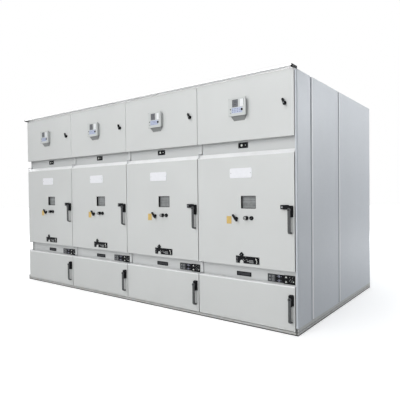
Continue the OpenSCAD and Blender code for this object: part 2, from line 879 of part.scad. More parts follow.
module cable_handle(i) color(dark_grey) seat_row()
    translate([panel_x(i) + panel_w - lever_x, 0, cable_door_z + cable_lever_z]) lever();

base_frame();
side_walls();
front_posts();
rear_posts();
floor_plates();
shelves();
barriers();
front_strips();
strip_plates();
roof_plates();
roof_flaps();
rear_covers();
end_cover_left();
end_cover_right();
cornice();
cornice_caps();
door_pivots();
lv_doors();
relays();
lv_locks();
cb_door(0);  // cb_door_1
cb_door(1);  // cb_door_2
cb_door(2);  // cb_door_3
cb_door(3);  // cb_door_4
cb_fittings(0);  // cb_fittings_1
cb_fittings(1);  // cb_fittings_2
cb_fittings(2);  // cb_fittings_3
cb_fittings(3);  // cb_fittings_4
cb_window(0);  // cb_window_1
cb_window(1);  // cb_window_2
cb_window(2);  // cb_window_3
cb_window(3);  // cb_window_4
cb_handle(0);  // cb_handle_1
cb_handle(1);  // cb_handle_2
cb_handle(2);  // cb_handle_3
cb_handle(3);  // cb_handle_4
cb_rotary(0);  // cb_rotary_1
cb_rotary(1);  // cb_rotary_2
cb_rotary(2);  // cb_rotary_3
cb_rotary(3);  // cb_rotary_4
cable_door(0);  // cable_door_1
cable_door(1);  // cable_door_2
cable_door(2);  // cable_door_3
cable_door(3);  // cable_door_4
cable_catch(0);  // cable_catch_1
cable_catch(1);  // cable_catch_2
cable_catch(2);  // cable_catch_3
cable_catch(3);  // cable_catch_4
cable_handle(0);  // cable_handle_1
cable_handle(1);  // cable_handle_2
cable_handle(2);  // cable_handle_3
cable_handle(3);  // cable_handle_4
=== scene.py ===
"""Looks of the air-insulated switchgear row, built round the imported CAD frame."""
import json
import math

import bmesh
import bpy
from mathutils import Matrix, Vector


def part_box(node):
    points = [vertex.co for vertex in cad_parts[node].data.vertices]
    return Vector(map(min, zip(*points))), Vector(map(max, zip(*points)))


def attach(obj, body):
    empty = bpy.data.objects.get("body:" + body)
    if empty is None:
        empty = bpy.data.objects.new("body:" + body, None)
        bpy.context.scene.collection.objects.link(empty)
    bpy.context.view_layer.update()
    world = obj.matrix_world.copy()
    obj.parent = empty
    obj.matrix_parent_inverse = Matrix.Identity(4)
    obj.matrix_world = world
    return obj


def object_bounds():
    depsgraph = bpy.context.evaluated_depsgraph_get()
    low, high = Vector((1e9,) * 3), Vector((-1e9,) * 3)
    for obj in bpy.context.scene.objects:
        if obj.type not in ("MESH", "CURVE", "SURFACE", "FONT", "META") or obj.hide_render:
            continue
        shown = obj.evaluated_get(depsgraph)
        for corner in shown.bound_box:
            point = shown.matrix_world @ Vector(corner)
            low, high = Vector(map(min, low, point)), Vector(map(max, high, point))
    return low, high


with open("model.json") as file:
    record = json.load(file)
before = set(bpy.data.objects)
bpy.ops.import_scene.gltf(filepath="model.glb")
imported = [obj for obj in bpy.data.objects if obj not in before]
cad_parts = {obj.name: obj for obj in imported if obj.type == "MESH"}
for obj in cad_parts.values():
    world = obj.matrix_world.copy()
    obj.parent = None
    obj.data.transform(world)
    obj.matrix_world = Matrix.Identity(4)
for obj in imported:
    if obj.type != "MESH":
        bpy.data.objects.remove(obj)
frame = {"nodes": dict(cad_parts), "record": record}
cad_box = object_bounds()
nodes = frame["nodes"]
PANELS = (1, 2, 3, 4)
MM = 0.001


# ---- materials ----

def srgb(r, g, b):
    """A colour written as 0-255 sRGB, in the linear values that Blender takes."""
    def one(v):
        v /= 255
        return v / 12.92 if v <= 0.04045 else ((v + 0.055) / 1.055) ** 2.4
    return (one(r), one(g), one(b), 1.0)


class Look:
    """A procedural material under construction: one Principled shader and helpers to feed it."""

    def __init__(self, name, rough=0.5, metal=0.0, spec=0.5, **inputs):
        self.mat = bpy.data.materials.new(name)
        self.mat.use_nodes = True
        self.tree = self.mat.node_tree
        self.tree.nodes.clear()
        out = self.node("ShaderNodeOutputMaterial")
        self.bsdf = self.node("ShaderNodeBsdfPrincipled")
        self.link(self.bsdf.outputs[0], out.inputs["Surface"])
        self.bsdf.inputs["Roughness"].default_value = rough
        self.bsdf.inputs["Metallic"].default_value = metal
        self.bsdf.inputs["Specular IOR Level"].default_value = spec
        for key, value in inputs.items():
            self.bsdf.inputs[key.replace("_", " ")].default_value = value
        coord = self.node("ShaderNodeTexCoord")
        self.where = coord.outputs["Object"]
        self.normal = coord.outputs["Normal"]

    def node(self, kind):
        return self.tree.nodes.new(kind)

    def link(self, a, b):
        self.tree.links.new(a, b)

    def stretched(self, scale):
        """The object coordinates, scaled on each axis."""
        mapping = self.node("ShaderNodeMapping")
        mapping.inputs["Scale"].default_value = scale
        self.link(self.where, mapping.inputs["Vector"])
        return mapping.outputs["Vector"]

    def noise(self, scale, detail=3.0, rough=0.5, where=None):
        n = self.node("ShaderNodeTexNoise")
        n.inputs["Scale"].default_value = scale
        n.inputs["Detail"].default_value = detail
        n.inputs["Roughness"].default_value = rough
        self.link(where or self.where, n.inputs["Vector"])
        return n.outputs["Fac"]

    def cells(self, scale):
        n = self.node("ShaderNodeTexVoronoi")
        n.inputs["Scale"].default_value = scale
        self.link(self.where, n.inputs["Vector"])
        return n.outputs["Color"]

    def spread(self, value, low, high, from_low=0.3, from_high=0.7):
        """Maps a value to the range from low to high; the defaults suit a noise."""
        n = self.node("ShaderNodeMapRange")
        n.inputs["From Min"].default_value = from_low
        n.inputs["From Max"].default_value = from_high
        n.inputs["To Min"].default_value = low
        n.inputs["To Max"].default_value = high
        self.link(value, n.inputs["Value"])
        return n.outputs["Result"]

    def mix(self, fac, a, b):
        """The colour a, or b where the factor is 1."""
        n = self.node("ShaderNodeMix")
        n.data_type = "RGBA"
        for key, value in (("Factor_Float", fac), ("A_Color", a), ("B_Color", b)):
            socket = next(i for i in n.inputs if i.identifier == key)
            if isinstance(value, bpy.types.NodeSocket):
                self.link(value, socket)
            else:
                socket.default_value = value
        return next(o for o in n.outputs if o.identifier == "Result_Color")

    def along(self, vector, low, high, from_low, from_high, axis="Z"):
        """Maps one coordinate of a vector to the range from low to high."""
        split = self.node("ShaderNodeSeparateXYZ")
        self.link(vector, split.inputs[0])
        return self.spread(split.outputs[axis], low, high, from_low, from_high)

    def times(self, a, b):
        n = self.node("ShaderNodeMath")
        n.operation = "MULTIPLY"
        self.link(a, n.inputs[0])
        self.link(b, n.inputs[1])
        return n.outputs[0]

    def colour(self, value):
        self.link(value, self.bsdf.inputs["Base Color"])

    def roughness(self, value):
        self.link(value, self.bsdf.inputs["Roughness"])

    def bump(self, height, strength, distance):
        n = self.node("ShaderNodeBump")
        n.inputs["Strength"].default_value = strength
        n.inputs["Distance"].default_value = distance
        self.link(height, n.inputs["Height"])
        self.link(n.outputs["Normal"], self.bsdf.inputs["Normal"])


def shade(colour, k):
    """A colour made darker or brighter by a factor."""
    return tuple(min(1.0, c * k) for c in colour[:3]) + (1.0,)


# Pale colour of dust, and of the painted highlights on up-facing faces and edge rims
DUST_AND_HIGHLIGHT = srgb(242, 243, 244)
# The colour that surfaces turn towards near the floor
FLOOR_DARK_TONE = srgb(150, 144, 128)


def powder_coat(name, colour, rough=0.42, tint=0.03, dust=0.6, floor_darkening=0.25, highlight_rims=(), **inputs):
    """Powder coat: a slight orange peel, fine speckle, and large soft differences in tone. A pale
    colour lies on what faces up: partly dust, partly a painted highlight of the light from above.
    Towards the floor it turns darker and browner, in blots. Each highlight rim is an axis with
    the places where a painted highlight along a folded edge starts and ends."""
    k = Look(name, rough, **inputs)
    cloud = k.spread(k.noise(1.7, 4), 0, 1)
    base = k.mix(cloud, shade(colour, 1 - tint), shade(colour, 1 + tint))
    speck = k.spread(k.noise(900, 2), 0, 1)
    base = k.mix(speck, base, k.mix(0.5, base, shade(colour, 0.93)))
    for axis, start, end in highlight_rims:
        step = math.copysign(0.001, end - start)
        inside = k.along(k.where, 0, 1, start - step, start, axis)
        fading = k.along(k.where, 1, 0, start + 0.4 * (end - start), end, axis)
        # Painted highlight: a paler band along each rim
        base = k.mix(k.times(inside, fading), base, k.mix(0.75, base, DUST_AND_HIGHLIGHT))
    # Painted highlight of the light from above, partly dust: what faces up turns pale
    upward = k.along(k.normal, 0, dust, 0.2, 0.55)
    patchy = k.spread(k.noise(9, 4), 0.75, 1)
    base = k.mix(k.times(upward, patchy), base, DUST_AND_HIGHLIGHT)
    # Darker and browner towards the floor, in blots
    near_floor = k.along(k.where, floor_darkening, 0, 0.0, 0.07)
    blots = k.spread(k.noise(14, 5, 0.6), 0, 1, 0.35, 0.65)
    k.colour(k.mix(k.times(near_floor, blots), base, FLOOR_DARK_TONE))
    k.roughness(k.spread(k.noise(35, 4), rough - 0.05, rough + 0.06))
    k.bump(k.noise(420, 2, 0.45), 0.12, 0.0006)
    return k.mat


def zinc_sheet(name):
    """Zinc-coated sheet with its spangle and rolling marks."""
    k = Look(name, 0.38, metal=0.9)
    spangle = k.mix(k.cells(55), srgb(176, 180, 184), srgb(200, 203, 206))
    marks = k.spread(k.noise(24, 3, 0.6, k.stretched((1, 1, 26))), 0, 1)
    k.colour(k.mix(marks, spangle, k.mix(0.3, spangle, srgb(160, 164, 168))))
    k.roughness(k.spread(k.noise(60, 3), 0.30, 0.48))
    k.bump(k.noise(300, 2), 0.08, 0.0004)
    return k.mat


def plastic(name, colour, rough=0.45, grain=1500, depth=0.2, tint=0.12, spec=0.5, underside_shade=1.0):
    """Moulded plastic with a fine spark-eroded grain. Its underside is darkened by a factor:
    painted shade.
    """
    k = Look(name, rough, spec=spec)
    tone = k.spread(k.noise(30, 3), 0, 1)
    base = k.mix(tone, shade(colour, 1 - tint), shade(colour, 1 + tint))
    # Painted shade: faces turned to the floor take the darker colour
    down = k.along(k.normal, 1, 0, -0.5, -0.1)
    k.colour(k.mix(down, base, shade(colour, underside_shade)))
    k.roughness(k.spread(k.noise(80, 3), rough - 0.06, rough + 0.08))
    k.bump(k.noise(grain, 2), depth, 0.0003)
    return k.mat


def coated_casting(name, colour):
    """Painted die casting: a coarser skin, rubbed brighter here and there by hands."""
    k = Look(name, 0.4, spec=0.3)
    rub = k.spread(k.noise(45, 5, 0.6), 0, 1, 0.5, 0.75)
    k.colour(k.mix(rub, colour, shade(colour, 1.5)))
    k.roughness(k.spread(k.noise(60, 4), 0.30, 0.50))
    k.bump(k.noise(700, 3), 0.2, 0.0004)
    return k.mat


def plated_steel(name, colour):
    """Plated steel, with fine turning marks and uneven gloss."""
    k = Look(name, 0.3, metal=1.0)
    grain = k.spread(k.noise(500, 3), 0, 1)
    k.colour(k.mix(grain, shade(colour, 0.85), shade(colour, 1.05)))
    k.roughness(k.spread(k.noise(120, 3), 0.22, 0.42))
    return k.mat


def pane(name):
    """Laminated pane over a dark compartment: smoky, with faint level streaks and a little dust."""
    k = Look(name, 0.12, spec=0.5)
    streak = k.spread(k.noise(60, 2, 0.5, k.stretched((0.04, 0.04, 1.6))), 0, 1)
    smoke = k.mix(streak, srgb(100, 103, 104), srgb(134, 137, 137))
    dust = k.spread(k.noise(40, 5, 0.6), 0, 1, 0.35, 0.8)
    k.colour(k.mix(dust, smoke, k.mix(0.35, smoke, srgb(168, 170, 170))))
    k.roughness(k.spread(k.noise(25, 4), 0.10, 0.22))
    return k.mat


def printed(name, colour):
    """A plain printed field or mark."""
    return plastic(name, colour, 0.5, depth=0.05, tint=0.08)


OPENING_CLEAR = 0.008               # from the breaker's opening to the barrier behind it
FIRST_COVER_D = 0.299               # depth of the first side cover
COVER_HIGHLIGHT_RIM = (0.013, 0.045)          # the paler rim behind a seam between side covers, a painted highlight
DOOR_HIGHLIGHT_RIM = 0.014                    # the paler rim at a cable door's upper edge, a painted highlight
barrier_y = next(o["box_m"][1][1] for o in frame["record"]["physics"]["openings"]
                 if o["name"] == "breaker_compartment_1") + OPENING_CLEAR
first_seam_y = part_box("lv_doors")[0].y + FIRST_COVER_D
cable_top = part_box("cable_door_1")[1].z
DOOR_GREY = srgb(200, 202, 201)
# dust=0.95: the doors' up-facing faces turn pale, mostly a painted highlight, partly dust
door_paint = powder_coat("door_paint", DOOR_GREY, dust=0.95)
# Side covers: the door grey darkened and blued as painted shade; painted highlight rims at seams
cover_paint = powder_coat("cover_paint", srgb(190, 195, 201), 0.38,
                          highlight_rims=[("Y", y + COVER_HIGHLIGHT_RIM[0], y + COVER_HIGHLIGHT_RIM[1])
                                 for y in (first_seam_y, barrier_y)])
# Cable doors: a painted highlight along the upper edge's rim, and the pale mix on what faces up
low_door_paint = powder_coat("low_door_paint", DOOR_GREY, dust=0.95,
                             highlight_rims=[("Z", cable_top, cable_top - DOOR_HIGHLIGHT_RIM)])
frame_paint = powder_coat("frame_paint", srgb(198, 200, 200))
# The base turns darker towards the floor more strongly
base_paint = powder_coat("base_paint", srgb(180, 182, 182), floor_darkening=0.6)
cornice_paint = powder_coat("cornice_paint", srgb(250, 250, 250), 0.35, 0.01, metal=0.55,
                            Coat_Weight=1.0, Coat_Roughness=0.3)
zinc = zinc_sheet("zinc")
pin_steel = plated_steel("pin_steel", srgb(170, 172, 174))
lock_steel = plated_steel("lock_steel", srgb(112, 114, 116))
black_plastic = plastic("black_plastic", srgb(24, 25, 27), spec=0.06)
# The relay's underside gets painted shade, 0.45 of its colour
relay_plastic = plastic("relay_plastic", srgb(190, 193, 192), 0.4, depth=0.1, tint=0.02,
                        underside_shade=0.45)
lever_coat = coated_casting("lever_coat", srgb(70, 72, 73))
window_pane = pane("window_pane")
white_plate = plastic("white_plate", srgb(226, 227, 231), 0.35, depth=0.04, tint=0.02)
yellow_tag = plastic("yellow_tag", srgb(200, 170, 98), 0.35, depth=0.05, tint=0.14)
print_grey = printed("print_grey", srgb(146, 148, 148))
print_lilac = printed("print_lilac", srgb(150, 152, 170))
print_pale = printed("print_pale", srgb(214, 216, 212))
slate_field = plastic("slate_field", srgb(66, 68, 71), 0.45, depth=0.1, tint=0.1, spec=0.2)
screen_glass = plastic("screen_glass", srgb(86, 88, 92), 0.12, depth=0.0, tint=0.05)
screen_lines = plastic("screen_lines", srgb(142, 144, 148), 0.3, depth=0.0, tint=0.05)
key_field = plastic("key_field", srgb(184, 192, 212), 0.4, depth=0.06, tint=0.02)
key_caps = plastic("key_caps", srgb(72, 84, 124), 0.4, depth=0.06, tint=0.05)
lamp_white = plastic("lamp_white", srgb(224, 226, 228), 0.4, depth=0.05, tint=0.02)
seal_rubber = plastic("seal_rubber", srgb(38, 39, 41), 0.7, 900, 0.3)
joint_shade = plastic("joint_shade", srgb(92, 94, 95), 0.6, 900, 0.2)

BY_SLOT = {"door_paint": door_paint, "cover_paint": cover_paint, "frame_paint": frame_paint,
           "cornice_paint": cornice_paint, "zinc_sheet": zinc, "zinc_pin": pin_steel,
           "black_plastic": black_plastic, "relay_plastic": relay_plastic,
           "lever_paint": lever_coat, "window_glass": window_pane}
BY_NODE = {"base_frame": base_paint, **{f"cable_door_{n}": low_door_paint for n in PANELS}}
for part in frame["record"]["subparts"]:
    o = nodes[part["node"]]
    o.data.materials.clear()
    o.data.materials.append(BY_NODE.get(part["node"], BY_SLOT[part["material_slot"]]))


# ---- small pieces in mesh code ----

def facing(right, up, out):
    """A turn from a drawing (right, up, out of the page) to the side of the row that it lies on."""
    return Matrix((right, up, out)).transposed()


FRONT = facing((1, 0, 0), (0, 0, 1), (0, -1, 0))
BACK = facing((-1, 0, 0), (0, 0, 1), (0, 1, 0))
RIGHT = facing((0, 1, 0), (0, 0, 1), (1, 0, 0))
LEFT = facing((0, -1, 0), (0, 0, 1), (-1, 0, 0))
ROOF = facing((1, 0, 0), (0, 1, 0), (0, 0, 1))


def arc(x, z, r, start, end, steps):
    """Points of an arc between two angles in degrees."""
    angles = (math.radians(start + (end - start) * i / steps) for i in range(steps + 1))
    return [(x + r * math.cos(a), z + r * math.sin(a)) for a in angles]


# An outline is a function that gives its points, drawn in by a distance.

def rounded(x, z, w, h, r, steps=5):
    """A rounded rectangle round (x, z)."""
    def outline(t):
        q = max(r - t, 0.05)
        u, v = w / 2 - t - q, h / 2 - t - q
        corners = ((u, v, 0), (-u, v, 90), (-u, -v, 180), (u, -v, 270))
        return [p for cu, cv, a in corners for p in arc(x + cu, z + cv, q, a, a + 90, steps)]
    return outline


def disc(x, z, r, steps=28):
    return lambda t: arc(x, z, r - t, 0, 360 * (steps - 1) / steps, steps - 1)


def polygon(*points):
    """A convex outline through some points, which shrinks towards its middle."""
    mx = sum(p[0] for p in points) / len(points)
    mz = sum(p[1] for p in points) / len(points)
    far = max(math.hypot(px - mx, pz - mz) for px, pz in points)

    def outline(t):
        k = 1 - t / far
        return [(mx + (px - mx) * k, mz + (pz - mz) * k) for px, pz in points]
    return outline


def bar(x0, z0, x1, z1, w):
    """A straight stroke of the width w."""
    length = math.hypot(x1 - x0, z1 - z0)
    u, v = (x0 - x1) / length * w / 2, (z1 - z0) / length * w / 2
    return polygon((x0 - v, z0 - u), (x1 - v, z1 - u), (x1 + v, z1 + u), (x0 + v, z0 + u))


class Piece:
    """A mesh drawn in mm on one side of the row; z runs up and out runs away from the surface."""

    def __init__(self, side=FRONT):
        self.bm = bmesh.new()
        self.side = side

    def ring(self, points, out):
        return [self.bm.verts.new(self.side @ Vector((x, z, out)) * MM) for x, z in points]

    def skin(self, a, b):
        n = len(a)
        for i in range(n):
            self.bm.faces.new((a[i], a[(i + 1) % n], b[(i + 1) % n], b[i]))

    def closed(self, rings):
        """A body through several rings of points, with a face on the first and the last."""
        for a, b in zip(rings, rings[1:]):
            self.skin(a, b)
        self.bm.faces.new(rings[0][::-1])
        self.bm.faces.new(rings[-1])

    def slab(self, outline, base, out, chamfer=0.4):
        """A plate from the height base to the height out, with a chamfered front edge."""
        self.closed([self.ring(outline(t), o)
                     for t, o in ((0, base), (0, out - chamfer), (chamfer, out))])

    def frame(self, outline, width, base, out, chamfer=0.3):
        """A closed ring of the given width inside an outline."""
        c = chamfer
        levels = ((0, base), (0, out - c), (c, out),
                  (width - c, out), (width, out - c), (width, base))
        rings = [self.ring(outline(t), o) for t, o in levels]
        for a, b in zip(rings, rings[1:] + rings[:1]):
            self.skin(a, b)

    def turned(self, x, z, profile, steps=24):
        """A body turned round (x, z); the profile lists (radius, out) from the foot."""
        self.closed([self.ring(disc(x, z, r, steps)(0), o) for r, o in profile])

    def screw(self, x, z, r, base=0.0):
        """A button-head screw with a hexagonal socket."""
        h = 0.55 * r
        corners = [(x + 0.5 * r * math.cos(math.radians(60 * k)),
                    z + 0.5 * r * math.sin(math.radians(60 * k))) for k in range(6)]
        hexagon = [p for a, b in zip(corners, corners[1:] + corners[:1])
                   for p in (a, ((a[0] + b[0]) / 2, (a[1] + b[1]) / 2))]
        head = ((r, 0.0), (r, 0.35 * h), (0.82 * r, 0.85 * h), (0.6 * r, h))
        self.closed([self.ring(disc(x, z, q, 12)(0), base + o) for q, o in head]
                    + [self.ring(hexagon, base + h), self.ring(hexagon, base + 0.45 * h)])

    def mesh(self, name, look, sharp=32):
        bmesh.ops.recalc_face_normals(self.bm, faces=self.bm.faces)
        me = bpy.data.meshes.new(name)
        self.bm.to_mesh(me)
        self.bm.free()
        me.shade_smooth()
        me.set_sharp_from_angle(angle=math.radians(sharp))
        me.materials.append(look)
        return me


def place(mesh, name, body, at):
    """Puts a mesh into the scene at a point in metres, and lets it ride on a CAD body."""
    o = bpy.data.objects.new(name, mesh)
    bpy.context.scene.collection.objects.link(o)
    o.location = at
    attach(o, body)


# Anchors of the drawings: a point on a face, from which the drawing's x and z run.

def on_cb_door(n):
    """The middle of a breaker door's lower edge."""
    a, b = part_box(f"cb_door_{n}")
    return Vector(((a.x + b.x) / 2, a.y, a.z))


PITCH_X = on_cb_door(2).x - on_cb_door(1).x
lv_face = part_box("lv_doors")[0]
strip_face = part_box("front_strips")[0]
relay_lo, relay_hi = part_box("relays")
lock_lo, lock_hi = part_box("lv_locks")


def on_relay(n):
    """The upper left corner of a relay's front."""
    return Vector((relay_lo.x + (n - 1) * PITCH_X, relay_lo.y, relay_hi.z))


def on_upper_strip(n):
    """The middle of the upper strip's face, level with the low-voltage door's lower edge."""
    return Vector((on_cb_door(n).x, strip_face.y, lv_face.z))


def on_lower_strip(n):
    """The middle of the lower strip's face, level with the cable door's upper edge."""
    return Vector((on_cb_door(n).x, strip_face.y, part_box(f"cable_door_{n}")[1].z))


def on_lever(kind, n):
    """The pivot on the face of a lever handle."""
    a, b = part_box(f"{kind}_handle_{n}")
    return Vector(((a.x + b.x) / 2, a.y, b.z - (b.x - a.x) / 2))


# ---- low-voltage doors ----

relay_w = (relay_hi.x - relay_lo.x - 3 * PITCH_X) / MM
RELAY_FRONT_H = 158
SCREW_IN = 7


def relay_screen():
    p = Piece()
    p.slab(rounded(71, -46.5, 60, 65, 1.5), -2, -1.2)
    return p.mesh("relay_screen", screen_glass)


def relay_screen_marks():
    """A plain line diagram on the screen: four rows of short bars and a rule under them."""
    p = Piece()
    for row in range(4):
        for x, w in ((50, 14), (68, 8), (80, 16)):
            p.slab(rounded(x + w / 2, -24 - 12 * row, w - row % 2 * 4, 2.4, 0.5), -1.2, -1.0, 0.1)
    p.slab(rounded(71, -70, 50, 3, 0.5), -1.2, -1.0, 0.1)
    return p.mesh("relay_screen_marks", screen_lines)


def relay_key_field():
    p = Piece()
    p.slab(rounded(relay_w / 2, -109, relay_w - 68, 48, 1.5), -1, -0.3, 0.2)
    return p.mesh("relay_key_field", key_field)


def relay_keys():
    p = Piece()
    for row in range(3):
        for column in range(6):
            if (row, column) not in ((0, 5), (1, 5)):
                p.slab(rounded(46 + 17 * column, -95 - 14 * row, 9, 6, 2), -0.3, 1.0)
    return p.mesh("relay_keys", key_caps)


def relay_lamps():
    """The white field beside the screen, with its column of lamps."""
    p = Piece()
    p.slab(rounded(139, -47, 33, 64, 2), -0.2, 0.6)
    for k in range(6):
        p.turned(141, -22 - 9 * k, ((2.6, 0.4), (2.6, 1.0), (1.4, 1.6)), 14)
    return p.mesh("relay_lamps", lamp_white)


def relay_dark_marks():
    """The round push button, a socket on the left, and the groove beside the lamps."""
    p = Piece()
    p.turned(140, -106, ((11, -1), (11, 3), (9.5, 4), (4, 3.6)))
    p.turned(24, -97, ((6, -0.2), (6, 0.8), (4.5, 1.2)), 18)
    p.slab(rounded(160, -42, 1.8, 56, 0.4), -0.2, 0.3, 0.1)
    return p.mesh("relay_dark_marks", black_plastic)


def relay_grey_marks():
    """The lower socket on the left, and the four screws of the front."""
    p = Piece()
    p.turned(24, -130, ((6, -0.2), (6, 0.8), (4.5, 1.2)), 18)
    for x in (SCREW_IN, relay_w - SCREW_IN):
        for z in (-SCREW_IN, SCREW_IN - RELAY_FRONT_H):
            p.screw(x, z, 2.6)
    return p.mesh("relay_grey_marks", print_grey)


def lock_insert():
    """The steel cylinder in a low-voltage lock's wing."""
    p = Piece()
    p.turned(0, 0, ((6, -1), (6, 0.8), (5, 1.4), (2, 1.0)))
    return p.mesh("lock_insert", lock_steel)


relay_meshes = [make() for make in (relay_screen, relay_screen_marks, relay_key_field, relay_keys,
                                    relay_lamps, relay_dark_marks, relay_grey_marks)]
lock_mesh = lock_insert()
LOCK_PIVOT_UP = 0.022
first_lock_x = (lock_lo.x + lock_hi.x - 3 * PITCH_X) / 2
for n in PANELS:
    for mesh in relay_meshes:
        place(mesh, f"{mesh.name}_{n}", "housing", on_relay(n))
    lock_at = Vector((first_lock_x + (n - 1) * PITCH_X, lock_lo.y, lock_lo.z + LOCK_PIVOT_UP))
    place(lock_mesh, f"lock_insert_{n}", "housing", lock_at)

# ---- recessed strips ----

PLATE, FIELD = 3, 6                 # how far the plates and the fields on them stand out
SOCKET_Z = -36.5


def socket_insert():
    """The pale disc inside the socket's ring, and the pale square beside it."""
    p = Piece()
    p.turned(-41, SOCKET_Z, ((11.5, PLATE), (11.5, FIELD - 0.5), (10, FIELD), (4.5, FIELD),
                             (4, PLATE + 1)))
    p.slab(rounded(-2, SOCKET_Z, 8, 8, 1.5), PLATE + 2, PLATE + 2.6, 0.2)
    return p.mesh("socket_insert", print_pale)


def socket_screws():
    p = Piece()
    for x in (-72, 16):
        p.screw(x, -18, 3, PLATE)
        p.screw(x, -55, 3, PLATE)
    return p.mesh("socket_screws", print_grey)


def rating_field():
    """Two plain bands in the long plate's field."""
    p = Piece()
    for z in (45, 34):
        p.slab(rounded(-30, z, 128, 7, 1), PLATE - 1, PLATE - 0.5, 0.2)
    return p.mesh("rating_field", slate_field)


def lamp_fields():
    """The grey face of the first indicator field."""
    p = Piece()
    p.slab(rounded(250.5, 37.5, 72, 62, 2), FIELD, FIELD + 0.5, 0.2)
    return p.mesh("lamp_fields", slate_field)


def lamp_marks_grey():
    """Two lamps and two columns of bars on the first field, and slanted strokes on the fourth."""
    p = Piece()
    for z in (52, 22):
        p.frame(disc(234, z, 8), 2.4, FIELD + 0.4, FIELD + 1.0, 0.2)
        p.turned(234, z, ((3.4, FIELD + 0.4), (3.4, FIELD + 1.2), (2.4, FIELD + 1.8)), 14)
        for k in range(3):
            p.slab(rounded(264, z + 8 - 8 * k, 26, 3, 1), FIELD + 0.4, FIELD + 0.8, 0.1)
    strokes = ((416, 24, 428, 44), (430, 14, 446, 40), (440, 46, 452, 62), (416, 54, 426, 66))
    for ends in strokes:
        p.slab(bar(*ends, 2.4), FIELD, FIELD + 0.5, 0.1)
    return p.mesh("lamp_marks_grey", print_grey)


def lamp_marks_lilac():
    """Two ring symbols with a lamp in each on the second field."""
    p = Piece()
    for z in (56, 20):
        p.frame(disc(322, z, 10), 2.6, FIELD, FIELD + 0.5, 0.1)
        p.turned(322, z, ((4, FIELD), (4, FIELD + 0.8), (3, FIELD + 1.2)), 14)
        p.slab(bar(308, z, 300, z, 2.4), FIELD, FIELD + 0.5, 0.1)
        p.slab(bar(336, z, 346, z, 2.4), FIELD, FIELD + 0.5, 0.1)
    return p.mesh("lamp_marks_lilac", print_lilac)


def lamp_marks_pale():
    """Direction triangles on the third field, and a lamp on the fourth."""
    p = Piece()
    for z in (50, 11):
        p.slab(polygon((377, z), (397, z), (387, z + 15)), FIELD, FIELD + 0.6, 0.3)
    p.turned(454, 22, ((5, FIELD), (5, FIELD + 0.8), (3.6, FIELD + 1.2)), 16)
    return p.mesh("lamp_marks_pale", print_pale)


upper_meshes = [socket_insert(), socket_screws()]
lower_meshes = [rating_field(), lamp_fields(), lamp_marks_grey(), lamp_marks_lilac(),
                lamp_marks_pale()]
for n in PANELS:
    for mesh in upper_meshes:
        place(mesh, f"{mesh.name}_{n}", "housing", on_upper_strip(n))
    for mesh in lower_meshes:
        place(mesh, f"{mesh.name}_{n}", "housing", on_lower_strip(n))


# ---- breaker doors ----

NAME_Z, NAME_T = 832, 5             # the name plate's height on the door and its thickness
KEY_SWITCH = (42, 432)
PLAIN_KNOB = (93, 432)
ARCH = (-12, 38)                    # the racking spindle, in the plate's arch


def name_plate():
    p = Piece()
    p.slab(rounded(-15, NAME_Z, 229, 90, 16, 8), 0, NAME_T, 1.2)
    return p.mesh("name_plate", white_plate)


def name_plate_screws():
    p = Piece()
    for x in (-116, 86):
        p.screw(x, NAME_Z, 3.5, NAME_T)
    return p.mesh("name_plate_screws", print_grey)


def door_tag():
    """A plain tag with a raised rim."""
    p = Piece()
    outline = rounded(-143, 410, 52, 68, 3)
    p.slab(outline, 0, 1.4, 0.4)
    p.frame(outline, 3, 1.4, 2.2)
    return p.mesh("door_tag", yellow_tag)


def switch_faces():
    """The pale ring in the key switch's face."""
    p = Piece()
    p.frame(disc(*KEY_SWITCH, 11), 3.6, 33, 34)
    return p.mesh("switch_faces", print_pale)


def knob_dot():
    """The small dot in the plain knob's dimple."""
    p = Piece()
    p.turned(*PLAIN_KNOB, ((2.6, 12), (2.6, 12.8), (1.8, 13.2)), 14)
    return p.mesh("knob_dot", print_grey)


def key_cylinders():
    """The steel cylinder in the key switch."""
    p = Piece()
    p.turned(*KEY_SWITCH, ((5.5, 33), (5.5, 34.2), (4.5, 34.8), (1.5, 34.4)), 20)
    return p.mesh("key_cylinders", lock_steel)


def racking_shutter():
    """The pale shutter over the racking spindle, in the arch."""
    p = Piece()
    p.turned(*ARCH, ((15, 0), (15, 1.8), (13.5, 2.6), (5, 2.6), (4, 1.2)))
    return p.mesh("racking_shutter", door_paint)


def arc_band(p, x, z, radii, angles, heights, steps):
    """A raised band along an arc."""
    outer = arc(x, z, radii[1], *angles, steps)
    inner = arc(x, z, radii[0], *angles, steps)
    for k in range(steps):
        quad = polygon(outer[k], outer[k + 1], inner[k + 1], inner[k])
        p.slab(quad, *heights, 0.05)


def racking_marks():
    """Plain marks on the racking plate: a block of bars, an arc beside the arch, and two rings."""
    p = Piece()
    for z in (70, 44):
        arc_band(p, -58, z, (5, 8), (60, 300), (PLATE, PLATE + 0.5), 8)
    arc_band(p, *ARCH, (27, 31), (20, 70), (PLATE, PLATE + 0.5), 6)
    arc_band(p, 40, 52, (9, 12), (20, 150), (PLATE, PLATE + 0.5), 7)
    for z, x, w in ((57, 84, 44), (47, 76, 66), (38, 88, 42)):
        p.slab(rounded(x, z, w, 5, 1), PLATE, PLATE + 0.4, 0.1)
    return p.mesh("racking_marks", print_grey)


def racking_arrow():
    """The curved turning mark at the plate's right end."""
    p = Piece()
    arc_band(p, 118, 50, (22, 27), (-40, 48), (PLATE, PLATE + 0.5), 8)
    p.slab(polygon((128, 66), (142, 72), (130, 80)), PLATE, PLATE + 0.5, 0.1)
    return p.mesh("racking_arrow", print_pale)


def racking_screws():
    p = Piece()
    for x, z in ((-66, 33), (161, 33), (161, 85), (30, 85)):
        p.screw(x, z, 3, PLATE)
    p.screw(-12, 103, 4, 9)
    return p.mesh("racking_screws", print_grey)


